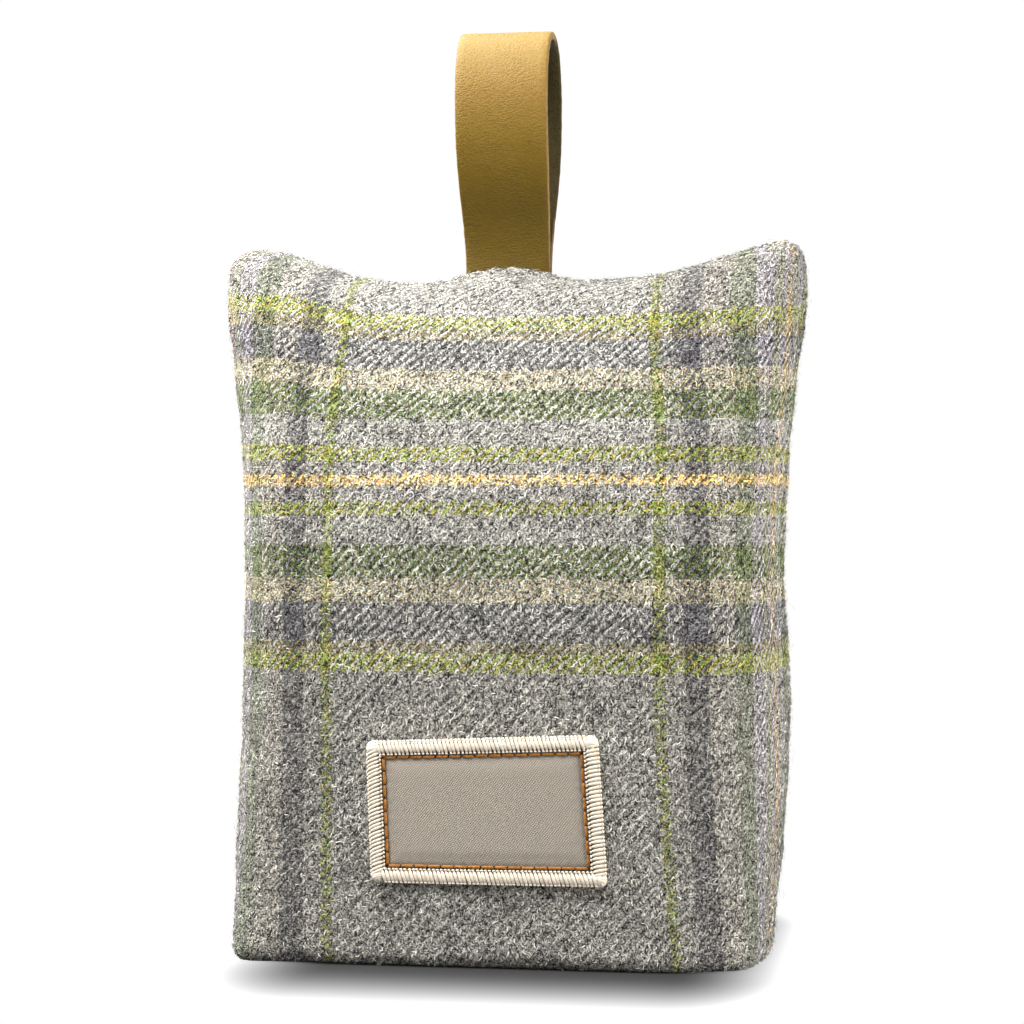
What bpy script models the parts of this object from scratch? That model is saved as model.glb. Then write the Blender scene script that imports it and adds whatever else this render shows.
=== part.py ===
"""Fabric doorstop: a filled wool block with a leather carrying loop in its top seam and a small
sewn label on its front. Metres, +Z up. The origin is the middle of the flat base, and the label
faces -Y."""

import math

import bmesh
import bpy
from mathutils import Vector

MM = 0.001
SEAT_GAP = 0.3 * MM  # what stays clear between two pieces that touch

# The filled body, as a cage of lines. A line on the front or back runs up at a share of each
# section's half width, and stands out by a share of its half depth. The sides have lines too.
FRONT_LINES = (
    # share across, share out
    (-0.86, 0.872),
    (-0.58, 0.975),
    (-0.24, 1.0),
    (0.0, 1.0),
    (0.24, 1.0),
    (0.58, 0.975),
    (0.86, 0.872),
)
CORNER_LINE = (0.952, 0.67)  # share across, share out
SIDE_LINES = (
    # share out, share across
    (-0.5, 0.997),
    (0.0, 1.003),
    (0.5, 0.997),
)
SECTIONS_MM = (
    # height, middle, half width, half depth, squareness of the corners (1 is a box)
    (-1.6, -0.8, 71.2, 47.4, 1.1),
    (5.0, -1.0, 71.0, 48.2, 0.9),
    (24.0, -0.5, 72.4, 48.3, 0.25),
    (62.0, 0.4, 72.6, 48.5, 0.0),
    (100.0, 0.0, 70.3, 48.0, 0.0),
    (131.0, 0.0, 72.1, 44.8, 0.0),
    (154.0, -0.4, 76.7, 35.5, 0.0),
    (170.0, -0.9, 79.9, 26.0, 0.0),
)
TOP_LINES_MM = (
    # height of the top's edge, shoulder and seam, on each line from the left corner to the right
    (180.0, 185.0, 185.6),
    (179.5, 188.0, 189.5),
    (173.5, 178.6, 179.4),
    (171.0, 176.4, 177.2),
    (171.0, 179.6, 183.0),
    (171.0, 176.3, 177.1),
    (173.0, 178.6, 179.4),
    (180.5, 187.6, 189.0),
    (182.5, 187.0, 187.6),
)
EDGE_FOLLOW = {5: 0.25, 6: 0.6}  # how far the sections under the top take on the top edge's rise
BODY_LEVELS = 2
CUTTER_REACH = 200 * MM  # past the body on every side

# The leather loop, as one leg from inside the seam to the top of the loop.
STRAP_WIDTH = 25.0 * MM
STRAP_FOOT_WIDTH = 23.0 * MM
STRAP_THICKNESS = 2.2 * MM
LEG_MM = (
    # out from the middle, height
    (1.35, 171.0),
    (1.35, 181.0),
    (1.45, 190.0),
    (3.2, 197.0),
    (7.6, 204.5),
    (10.9, 212.5),
    (12.9, 221.0),
    (12.8, 230.0),
    (10.3, 237.5),
    (5.6, 242.4),
    (0.0, 243.9),
)
PINCH_TOP = 212.0 * MM  # above this height the strap has its full width
STRAP_CENTRE_X = -2.8 * MM
STEPS_PER_SPAN = 3
STRAP_CELLS_ACROSS = 4
STRAP_EDGE_ROUND = 0.7 * MM

# The label, a small woven patch with an overlocked border.
LABEL_SIZE = Vector((59.8, 36.8)) * MM
LABEL_CENTRE = Vector((-0.3, 40.7)) * MM  # across and up
LABEL_TILT = math.radians(1.2)
BORDER_WIDTH = 3.7 * MM
BORDER_THICKNESS = 1.5 * MM
GROUND_THICKNESS = 0.8 * MM
LABEL_CELL = BORDER_WIDTH
LABEL_START_Y = -80 * MM  # where the flat label waits in front of the body
BORDER_ROUND = 0.6 * MM
SHARP = math.radians(60)  # an edge that turns further than this is rounded


def clear_scene():
    for old in list(bpy.data.objects):
        bpy.data.objects.remove(old, do_unlink=True)


def collection(name):
    made = bpy.data.collections.new(name)
    bpy.context.scene.collection.children.link(made)
    return made


def material(name, colour, roughness):
    made = bpy.data.materials.new(name)
    made.use_nodes = True
    shader = made.node_tree.nodes["Principled BSDF"]
    shader.inputs["Base Color"].default_value = (*colour, 1.0)
    shader.inputs["Roughness"].default_value = roughness
    shader.inputs["Metallic"].default_value = 0.0
    return made


def finish(bm, name, into, surface=None):
    """The bmesh as a smooth-shaded object in a collection, with its material if it has one."""
    mesh = bpy.data.meshes.new(name)
    bm.to_mesh(mesh)
    bm.free()
    made = bpy.data.objects.new(name, mesh)
    into.objects.link(made)
    if surface:
        mesh.materials.append(surface)
    mesh.shade_smooth()
    return made


def section_share(across, depth):
    """Where a cage line stands in a section, as shares of its half width and half depth."""
    last_across, last_depth = len(FRONT_LINES) + 1, len(SIDE_LINES) + 1
    on_side = across in (0, last_across)
    on_front = depth in (0, last_depth)
    side = -1.0 if across == 0 else 1.0
    front = -1.0 if depth == 0 else 1.0
    if on_side and on_front:
        return side * CORNER_LINE[0], front * CORNER_LINE[1]
    if on_side:
        out, reach = SIDE_LINES[depth - 1]
        return side * reach, out
    reach, out = FRONT_LINES[across - 1]
    if on_front:
        return reach, front * out
    return reach, out * SIDE_LINES[depth - 1][0]


def cage_point(across, depth, level):
    """Where the cage's vertex on these three lines goes, in metres."""
    *sizes, squareness = SECTIONS_MM[level]
    height, middle, half_width, half_depth = (size * MM for size in sizes)
    edge, shoulder, seam = (size * MM for size in TOP_LINES_MM[across])
    x_share, y_share = section_share(across, depth)
    if depth in (0, len(SIDE_LINES) + 1):
        y_share += squareness * (math.copysign(1.0, y_share) - y_share)
    top = len(SECTIONS_MM) - 1
    if level == top:
        height = (edge, shoulder, seam, shoulder, edge)[depth]
    elif level in EDGE_FOLLOW:
        height += EDGE_FOLLOW[level] * (edge - SECTIONS_MM[top][0] * MM)
    return Vector((middle + x_share * half_width, y_share * half_depth, height))


def cut_along(bm, axis, cuts):
    edges = [e for e in bm.edges if abs((e.verts[0].co - e.verts[1].co)[axis]) > 1e-6]
    bmesh.ops.subdivide_edges(bm, edges=edges, cuts=cuts, use_grid_fill=True)


def body_cage():
    """A cube cut into the cage's lines, with each vertex moved to its section."""
    bm = bmesh.new()
    bmesh.ops.create_cube(bm, size=2.0)
    counts = (len(FRONT_LINES) + 1, len(SIDE_LINES) + 1, len(SECTIONS_MM) - 1)
    for axis, count in enumerate(counts):
        cut_along(bm, axis, count - 1)
    for vertex in bm.verts:
        lines = [round((vertex.co[axis] + 1.0) / 2.0 * counts[axis]) for axis in range(3)]
        vertex.co = cage_point(*lines)
    return bm


def box(name, low, high, into):
    """A cutter between two corners."""
    bm = bmesh.new()
    bmesh.ops.create_cube(bm, size=1.0)
    size, middle = high - low, (high + low) / 2.0
    for vertex in bm.verts:
        vertex.co = Vector(vertex.co[axis] * size[axis] + middle[axis] for axis in range(3))
    made = finish(bm, name, into)
    made.hide_render = True
    made.display_type = "WIRE"
    return made


def take_away(target, cutter):
    cut = target.modifiers.new(cutter.name, "BOOLEAN")
    cut.operation = "DIFFERENCE"
    cut.object = cutter


def make_body(parts, cutters):
    """The wool block: its cage made round, pressed flat on its base, open at the seam for the strap."""
    wool = material("grey_check_wool", (0.42, 0.41, 0.38), 0.95)
    body = finish(body_cage(), "body", parts, wool)
    soft = body.modifiers.new("filled form", "SUBSURF")
    soft.levels = soft.render_levels = BODY_LEVELS
    reach = CUTTER_REACH
    floor = box("floor_cutter", Vector((-reach, -reach, -reach)), Vector((reach, reach, 0.0)), cutters)
    half_slot = STRAP_FOOT_WIDTH / 2 + SEAT_GAP
    foot_y = LEG_MM[0][0] * MM + STRAP_THICKNESS / 2 + SEAT_GAP
    foot_z = LEG_MM[0][1] * MM - SEAT_GAP
    slot = box(
        "seam_cutter",
        Vector((STRAP_CENTRE_X - half_slot, -foot_y, foot_z)),
        Vector((STRAP_CENTRE_X + half_slot, foot_y, reach)),
        cutters,
    )
    take_away(body, floor)
    take_away(body, slot)
    return body


def round_edges(piece, width):
    rounded = piece.modifiers.new("rounded edges", "BEVEL")
    rounded.width = width
    rounded.segments = 2
    rounded.angle_limit = SHARP


def smooth_line(points, steps):
    """A Catmull-Rom curve through the points, which leaves both ends straight on."""
    ends = [2 * points[0] - points[1], *points, 2 * points[-1] - points[-2]]
    line = []
    for before, start, end, after in zip(ends, ends[1:], ends[2:], ends[3:]):
        for step in range(steps):
            t = step / steps
            line.append(
                0.5
                * (
                    2 * start
                    + (end - before) * t
                    + (2 * before - 5 * start + 4 * end - after) * t**2
                    + (3 * start - before - 3 * end + after) * t**3
                )
            )
    return [*line, points[-1]]


def strap_line():
    """The middle of the strap from its front foot over the loop to its back foot, as (y, z)."""
    front = [Vector((-out, height)) * MM for out, height in LEG_MM]
    back = [Vector((-y, z)) for y, z in reversed(front[:-1])]
    return smooth_line(front + back, STEPS_PER_SPAN)


def strap_half_width(height):
    foot = LEG_MM[1][1] * MM
    share = min(1.0, max(0.0, (height - foot) / (PINCH_TOP - foot)))
    eased = share * share * (3.0 - 2.0 * share)
    return (STRAP_FOOT_WIDTH + (STRAP_WIDTH - STRAP_FOOT_WIDTH) * eased) / 2.0


def make_strap(parts):
    """The leather loop: a flat strip laid along its line, thickened and with its edges rounded."""
    leather = material("tan_leather", (0.43, 0.27, 0.08), 0.5)
    line = strap_line()
    bm = bmesh.new()
    bmesh.ops.create_grid(bm, x_segments=STRAP_CELLS_ACROSS, y_segments=len(line) - 1, size=1.0)
    for vertex in bm.verts:
        y, z = line[round((vertex.co.y + 1.0) / 2.0 * (len(line) - 1))]
        vertex.co = Vector((vertex.co.x * strap_half_width(z), y, z))
    strap = finish(bm, "handle_strap", parts, leather)
    strap.location.x = STRAP_CENTRE_X
    thick = strap.modifiers.new("leather thickness", "SOLIDIFY")
    thick.thickness = STRAP_THICKNESS
    thick.offset = 0.0
    round_edges(strap, STRAP_EDGE_ROUND)


def label_sheet(name, size, parts, surface, hole=None):
    """A flat patch upright in front of the body, with a rectangular hole if its size is given."""
    bm = bmesh.new()
    cells = [max(1, round(size[axis] / LABEL_CELL)) for axis in range(2)]
    bmesh.ops.create_grid(bm, x_segments=cells[0], y_segments=cells[1], size=1.0)
    for vertex in bm.verts:
        vertex.co = Vector((vertex.co.x * size.x / 2, 0.0, vertex.co.y * size.y / 2))
        if hole:
            snap_to_hole(vertex, size, hole)
    if hole:
        bmesh.ops.delete(bm, geom=[f for f in bm.faces if in_hole(f, hole)], context="FACES")
    made = finish(bm, name, parts, surface)
    made.location = (LABEL_CENTRE.x, LABEL_START_Y, LABEL_CENTRE.y)
    made.rotation_euler.y = -LABEL_TILT
    return made


def snap_to_hole(vertex, size, hole):
    """Moves the grid's line that lies nearest to the hole's edge onto it."""
    for axis, full, open_part in ((0, size.x, hole.x), (2, size.y, hole.y)):
        side = math.copysign(1.0, vertex.co[axis])
        from_rim = full / 2 - abs(vertex.co[axis])
        width = (full - open_part) / 2
        if 0.5 * width < from_rim < 1.5 * width:
            vertex.co[axis] = side * open_part / 2


def in_hole(face, hole):
    middle = face.calc_center_median()
    return abs(middle.x) < hole.x / 2 and abs(middle.z) < hole.y / 2


def lay_on(sheet, body, thickness):
    """Wraps a flat sheet onto the body's front and gives it its thickness, outwards."""
    wrap = sheet.modifiers.new("on the wool", "SHRINKWRAP")
    wrap.target = body
    wrap.wrap_method = "PROJECT"
    wrap.use_project_x = wrap.use_project_z = False
    wrap.use_project_y = True
    wrap.use_negative_direction = wrap.use_positive_direction = True
    wrap.offset = SEAT_GAP
    thick = sheet.modifiers.new("thickness", "SOLIDIFY")
    thick.thickness = thickness
    thick.offset = 1.0


def make_label(parts, body):
    """The label's woven ground, and the overlocked border round it."""
    linen = material("label_twill", (0.40, 0.36, 0.30), 0.85)
    thread = material("border_thread", (0.78, 0.72, 0.62), 0.75)
    hole = LABEL_SIZE - Vector((2, 2)) * BORDER_WIDTH
    border = label_sheet("label_border", LABEL_SIZE, parts, thread, hole)
    lay_on(border, body, BORDER_THICKNESS)
    round_edges(border, BORDER_ROUND)
    ground = label_sheet("label_ground", hole - Vector((2, 2)) * SEAT_GAP, parts, linen)
    lay_on(ground, body, GROUND_THICKNESS)


def main():
    clear_scene()
    parts = collection("fabric_doorstop")
    cutters = collection("cutters")
    body = make_body(parts, cutters)
    make_strap(parts)
    make_label(parts, body)


main()
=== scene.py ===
"""The looks of the fabric doorstop: checked wool with its fibres, the leather loop and the sewn label,
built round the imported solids. Metres, +Z up, and the label faces -Y."""

import itertools
import math

import bmesh
import bpy
import numpy as np
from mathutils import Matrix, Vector
from mathutils.bvhtree import BVHTree
from numpy.random import Generator

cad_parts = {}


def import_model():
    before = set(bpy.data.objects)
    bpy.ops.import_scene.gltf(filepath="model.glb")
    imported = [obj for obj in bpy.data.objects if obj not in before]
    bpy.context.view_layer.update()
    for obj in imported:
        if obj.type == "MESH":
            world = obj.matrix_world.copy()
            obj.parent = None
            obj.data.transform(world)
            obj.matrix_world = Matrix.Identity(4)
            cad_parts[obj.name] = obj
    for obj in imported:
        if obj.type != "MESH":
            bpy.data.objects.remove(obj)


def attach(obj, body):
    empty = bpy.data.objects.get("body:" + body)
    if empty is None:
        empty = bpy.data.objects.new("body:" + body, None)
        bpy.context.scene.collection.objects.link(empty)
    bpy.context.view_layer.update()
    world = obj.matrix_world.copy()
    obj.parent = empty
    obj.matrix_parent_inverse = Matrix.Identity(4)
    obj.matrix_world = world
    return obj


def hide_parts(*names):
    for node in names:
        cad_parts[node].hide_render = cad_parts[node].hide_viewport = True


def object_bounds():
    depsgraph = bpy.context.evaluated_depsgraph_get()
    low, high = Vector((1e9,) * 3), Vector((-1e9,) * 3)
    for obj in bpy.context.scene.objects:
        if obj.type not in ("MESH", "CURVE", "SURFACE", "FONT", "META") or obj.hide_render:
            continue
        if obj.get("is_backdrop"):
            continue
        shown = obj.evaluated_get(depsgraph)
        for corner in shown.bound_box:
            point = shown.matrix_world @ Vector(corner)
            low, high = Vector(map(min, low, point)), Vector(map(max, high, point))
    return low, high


MM = 0.001
SEED = 20

# The camera. The photograph is square, taken level and from a little to the right.
PHOTO_AZIMUTH = math.radians(9.5)
CAMERA_DISTANCE, CAMERA_HEIGHT, CAMERA_ASIDE = 700 * MM, 115.5 * MM, -2.0 * MM
LENS_MM = 91.0

# The studio, in metres and watts.
WORLD_LIGHT = 0.17
FLOOR_SIZE = 8.0
# The camera sees the floor near the bag as a near-black grey, a painted shadow under the real light; other
# rays meet the bounce grey.
FLOOR_PAINTED_SHADOW, FLOOR_BOUNCE = 0.04, 0.12
SHADOW_MIDDLE = (0.003, -0.010)
SHADOW_SIZE, SHADOW_FADE = (0.044, 0.040), (0.025, 0.042)  # half sizes of the painted shadow's dark part, and its fade
SOFTBOXES = (
    # name, place, aimed at, size, power
    ("softbox_above", (-0.27, -0.08, 0.54), (-0.01, -0.02, 0.16), (0.70, 0.60), 10.3),
    ("softbox_front", (-0.16, -0.47, 0.66), (0.0, 0.0, 0.17), (0.5, 0.4), 2.25),
    ("softbox_right", (0.78, -0.19, 0.19), (0.0, 0.0, 0.10), (0.4, 0.24), 9.3),
    ("softbox_left", (-0.60, -0.24, 0.70), (0.0, 0.0, 0.19), (0.5, 0.4), 5.8),
    ("softbox_back", (0.25, 0.80, 0.50), (0.0, 0.0, 0.10), (0.6, 0.4), 3.6),
)

# The filled bag, as the same cage of lines that the solid has.
FRONT_LINES = (
    # share across, share out
    (-0.86, 0.872), (-0.58, 0.975), (-0.24, 1.0), (0.0, 1.0), (0.24, 1.0), (0.58, 0.975), (0.86, 0.872),
)
CORNER_LINE = (0.952, 0.67)  # share across, share out
SIDE_LINES = ((-0.5, 0.997), (0.0, 1.003), (0.5, 0.997))  # share out, share across
SECTIONS_MM = (
    # height, middle, half width, half depth, squareness of the corners (1 is a box)
    (-1.6, -0.8, 71.2, 47.4, 1.1),
    (5.0, -1.0, 71.0, 48.2, 0.9),
    (24.0, -0.5, 72.4, 48.3, 0.25),
    (62.0, 0.4, 72.6, 48.5, 0.0),
    (100.0, 0.0, 70.3, 48.0, 0.0),
    (131.0, 0.0, 72.1, 44.8, 0.0),
    (154.0, -0.4, 76.7, 35.5, 0.0),
    (170.0, -0.9, 79.9, 26.0, 0.0),
)
TOP_LINES_MM = (
    # height of the top's edge, shoulder and seam, on each line from the left corner to the right
    (180.0, 185.0, 185.6),
    (179.5, 188.0, 189.5),
    (173.5, 178.6, 179.4),
    (171.0, 176.4, 177.2),
    (171.0, 179.6, 183.0),
    (171.0, 176.3, 177.1),
    (173.0, 178.6, 179.4),
    (180.5, 187.6, 189.0),
    (182.5, 187.0, 187.6),
)
EDGE_FOLLOW = {5: 0.25, 6: 0.6}  # how far the sections under the top take on the top edge's rise
BAG_LEVELS = 4
BAG_CUTS = 2**BAG_LEVELS  # fine cells to a cell of the cage

# The cloth on the bag, in millimetres of cloth: across from the middle of a panel, up from the base.
LEVEL_HEIGHT = 77.0  # here the cloth's height is the height itself
EARS = (130.0, 168.0)  # from the start of the ears up to where they are full
DRAWN, DRAWN_AT_EARS = 1.03, 0.06  # cloth to a length across, and how much more there is at the ears
TUCK, TUCK_REACH = 8.0, (58.0, 84.0)  # spare cloth at a panel's corner, and where it is taken up
EAR_TUCK, EAR_TUCK_REACH = 5.0, (68.0, 84.0)
TOP_DRAWN, TOP_TUCK, TOP_TUCK_REACH = 1.11, 17.0, (60.0, 72.0)
DRIFT, DRIFT_TOP = 4.5, 70.0  # how far the cloth runs askew at the base, and below which height
SPREAD = (
    # across, how far the lines there lie outwards at the base
    (-110.0, 2.6), (-60.0, 2.7), (-42.0, 2.4), (0.0, 0.0), (42.0, -2.4), (56.0, -0.8), (110.0, -0.4),
)
WEFT_RISE = (
    # across, how far the check's upper lines lie above an even course
    (-110.0, -3.0), (-60.0, -3.0), (-44.0, 1.0), (0.0, 2.6), (60.0, 2.6), (110.0, 3.0),
)
RISE_OVER, RISE_MOST = 46.0, 1.3  # the rise is full this far above the orange line, and then grows on

# The filling's lumps, the seams and the opening for the strap, in millimetres.
LUMP, LUMP_WAVES, LUMP_LENGTHS = 0.22, 14, (14.0, 46.0)
SEAM_DEPTH, SEAM_WIDTH = 1.3, 0.9
SWELL, SWELL_OFF, SWELL_WIDTH = 0.35, 3.0, 1.6
LIP, LIP_WIDTH = 1.1, 2.6  # the wool's lip round the strap's foot
GATHER, GATHER_TURN = 0.35, 1.25
SLOT_FLOOR = 172.0
SEAM_TOP, SEAM_SIDES, SEAM_FOOT = (170.0, 178.0), (60.0, 66.0), (2.0, 9.0)  # where the seam fades in
SLOT_PAST, SLOT_HALF = 0.2, 2.4  # the slot past the strap's edges, and half its depth
BASE_TUCK, BASE_TUCK_REACH = 4.5, ((40.0, 74.0), (-30.0, 46.0), (0.0, 62.0))  # in x, y and height
BASE_CORNER, BASE_CORNER_REACH = 8.0, ((40.0, 76.0), (-46.0, -10.0))
BASE_HALF, BASE_RIM = (71.0, 48.0), (70.0, 47.5)
BASE_ROUND, BASE_IN = 5.0, (1.5, 0.4)  # how high the base's edge rounds, and how far it goes in
NAP_ROOM = 0.45  # the cloth lies this far inside the solid, which its nap then fills

# The nap. Tufts lie on the cloth, hairs and wisps stand off it.
NAP_PIECES = 3
TUFTS = 39000  # in one piece
TUFT_SHAPE = ((0.8, 1.8), (0.17, 0.38), (8.0, 34.0), 0.35, 3)  # lengths, widths, lift, curl, segments
TUFT_ROLL = 0.4
ROOT_DEPTH, LOWEST = 0.06, 0.03  # under the cloth, and above the floor
WITH_YARN = 0.72  # the share of the tufts that lie along their yarn
WARP_WAY, WEFT_WAY = (1.15, 0.38), (0.42, 0.42)  # the way of a yarn's tufts in radians, and its spread
COLOUR_SPREAD = 0.27  # how far a tuft comes from the place that gives its colour
OWN, OF_YARN, OF_CLUMP, OF_PATCH = 0.30, 0.28, 0.32, 0.26  # what makes up a tuft's shade
OF_WARP = 0.07  # how much lighter the warp is
SHADE_RANGE = (0.31, 0.75)
CLUMP, PATCH = (0.55, 1.25), (1.9, 2.6)  # how wide and long the clumps and patches of light and dark are
TWILL_TURN = math.radians(55.0)
HAIR_KINDS = (
    # piece, how many, lengths, widths, lift in degrees, curl, segments, how the shades are drawn
    ("wool_hairs", 20000, (1.2, 3.4), (0.05, 0.09), (18.0, 62.0), 0.6, 4, Generator.beta, (1.2, 0.8)),
    ("wool_wisps", 420, (3.5, 8.5), (0.04, 0.07), (15.0, 60.0), 0.45, 9, Generator.uniform, (0.3, 1.0)),
)

# The strap, its line and its widths as the solid has them.
STRAP_WIDTH, STRAP_FOOT_WIDTH, STRAP_THICKNESS = 25.0, 23.0, 2.2
PINCH_TOP = 215.0
STRAP_CENTRE_X = -2.8
LEG_MM = (
    # out from the middle, height
    (1.35, 171.0), (1.4, 179.0), (2.2, 186.0), (4.2, 193.0), (7.4, 200.5), (10.4, 209.0),
    (12.5, 218.5), (12.8, 229.0), (10.3, 237.5), (5.6, 242.4), (0.0, 243.9),
)
STRAP_STEPS = 12  # fine steps to a span of the line
STRAP_EDGE_ROUND = 0.55
FACE_CELLS, EDGE_CELLS = 14, 5
CUT_WAVER, CUT_WAVES, CUT_LENGTHS = 0.01, 10, (2.5, 14.0)
HIDE_WITH_PAINTED_LIGHT = (
    # from the foot up, the leather's colour with painted light: darker towards the foot, lighter towards
    # the top where the light falls
    (0.0, 92, 72, 8), (0.12, 101, 79, 11), (0.36, 115, 90, 23),
    (0.62, 130, 100, 37), (0.86, 136, 108, 48), (1.0, 141, 115, 62),
)

# The label, as the solid has it.
LABEL_SIZE, LABEL_CENTRE = (59.8, 36.8), (-0.3, 40.7)
LABEL_TILT = math.radians(1.2)
LABEL_ASKEW = ((-0.52, 0.0, -0.0323, -0.00042), (-0.58, 0.0, 0.0, 0.00105))  # by 1, across, up and both
BORDER_WIDTH, BORDER_HEIGHT = 3.7, 1.45
GROUND_SIZE, GROUND_LIFT, GROUND_CELLS = (51.8, 28.8), 0.55, (96, 54)
SEAT_GAP = 0.3
SEAT_GRID = ((34.0, 35), (23.0, 24))  # how far to each side, and how many lines
STITCH_PITCH = 1.02
THREAD_HIGH = 0.30
BAND_CELLS, CORNER_THREADS = (60, 13), 9
OUT = (0.0, -1.0, 0.0)  # the way out from the wool
BORDER_SIDES = (
    # level?, which side of the label, slant, outer holes?, a thread's width to its pitch
    (True, 1.0, -0.50, True, 0.465),
    (True, -1.0, -0.50, False, 0.455),
    (False, -1.0, 0.85, False, 0.36),
    (False, 1.0, 0.40, False, 0.41),
)
HOLD_PITCH, HOLD_LENGTH = 3.5, 3.2
HOLD_INSET = 0.36  # the holding stitches' line lies this far inside the ground's edge


def smoothstep(low, high, value):
    share = np.clip((value - low) / (high - low), 0.0, 1.0)
    return share * share * (3.0 - 2.0 * share)


def unit(vectors):
    return vectors / np.linalg.norm(vectors, axis=-1, keepdims=True)


def between(grid, rows, columns, ease=lambda share: share):
    """A grid's values at places between its points. The grid repeats beyond its edges."""
    i, j = np.floor(rows).astype(int), np.floor(columns).astype(int)
    s, t = ease(rows - i), ease(columns - j)
    (i0, i1), (j0, j1) = ((at % size, (at + 1) % size) for at, size in zip((i, j), grid.shape))
    low = grid[i0, j0] * (1.0 - s) + grid[i1, j0] * s
    high = grid[i0, j1] * (1.0 - s) + grid[i1, j1] * s
    return low * (1.0 - t) + high * t


def read(layer, field, width=1, kind=np.float64):
    """A value or a row of values for each element of a mesh's layer."""
    found = np.empty(len(layer) * width, kind)
    layer.foreach_get(field, found)
    return found.reshape(-1, width) if width > 1 else found


def new_object(name, data, surfaces=()):
    made = bpy.data.objects.new(name, data)
    bpy.context.scene.collection.objects.link(made)
    for surface in surfaces:
        data.materials.append(surface)
    return made


def mesh_object(name, points, groups, surfaces):
    """A smooth mesh in metres from points in millimetres and groups of faces: (corners, material)."""
    mesh = bpy.data.meshes.new(name)
    mesh.vertices.add(len(points))
    mesh.vertices.foreach_set("co", (np.asarray(points, np.float64) * MM).ravel())
    corners = np.concatenate([faces.ravel() for faces, _ in groups]).astype(np.int32)
    sizes = np.concatenate([np.full(len(faces), faces.shape[1]) for faces, _ in groups])
    slots = np.concatenate([np.full(len(faces), slot) for faces, slot in groups])
    mesh.loops.add(len(corners))
    mesh.loops.foreach_set("vertex_index", corners)
    mesh.polygons.add(len(sizes))
    mesh.polygons.foreach_set("loop_start", (np.cumsum(sizes) - sizes).astype(np.int32))
    mesh.polygons.foreach_set("material_index", slots.astype(np.int32))
    mesh.update(calc_edges=True)
    mesh.validate()
    mesh.shade_smooth()
    return new_object(name, mesh, surfaces)


def add_uv(piece, name, places):
    """A UV map from one place for each vertex."""
    corners = read(piece.data.loops, "vertex_index", kind=np.int32)
    piece.data.uv_layers.new(name=name).data.foreach_set("uv", np.asarray(places)[corners].ravel())


def grid_faces(rows, columns):
    """The faces between a grid's points, which are counted row by row."""
    index = np.arange(rows * columns).reshape(rows, columns)
    return np.stack([index[:-1, :-1], index[1:, :-1], index[1:, 1:], index[:-1, 1:]], -1).reshape(-1, 4)


def threads(paths, ups, across, high, sides, shrink=0.25, taper=None):
    """Round threads along many paths with as many steps each: their points, walls and ends."""
    count, steps, _ = paths.shape
    along = unit(np.gradient(paths, axis=1))
    aside = unit(np.cross(along, ups))
    up = np.cross(aside, along)
    angle = (np.arange(sides) * 2.0 * math.pi / sides)[:, None]
    if taper is None:
        taper = np.ones(steps)
        taper[[0, -1]] = shrink
    ring = aside[:, :, None] * np.cos(angle) * across + up[:, :, None] * np.sin(angle) * high
    points = paths[:, :, None] + ring * taper[:, None, None]
    index = np.arange(count * steps * sides).reshape(count, steps, sides)
    low, top = index[:, :-1], index[:, 1:]
    walls = np.stack([low, top, np.roll(top, -1, 2), np.roll(low, -1, 2)], -1)
    ends = np.concatenate([index[:, 0], index[:, -1, ::-1]])
    return points.reshape(-1, 3), walls.reshape(-1, 4), ends


class Parts:
    """Gathers the points and faces of a mesh from several shapes."""

    def __init__(self):
        self.points, self.groups, self.count = [], [], 0

    def add(self, points, *faces, slot=0):
        self.points.append(np.asarray(points).reshape(-1, 3))
        self.groups += [(corners + self.count, slot) for corners in faces]
        self.count += len(self.points[-1])

    def thread(self, *run, slot=0, **shape):
        self.add(*threads(*run, **shape), slot=slot)

    def make(self, name, surfaces):
        return mesh_object(name, np.concatenate(self.points), self.groups, surfaces)


# The node materials.
class Value:
    """A node's output. The signs + - * and / take it through Math nodes."""

    def __init__(self, nodes, socket):
        self.nodes, self.socket = nodes, socket

    def __add__(self, other):
        return self.nodes.math("ADD", self, other)

    def __sub__(self, other):
        return self.nodes.math("SUBTRACT", self, other)

    def __mul__(self, other):
        return self.nodes.math("MULTIPLY", self, other)

    def __truediv__(self, other):
        return self.nodes.math("DIVIDE", self, other)


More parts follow.
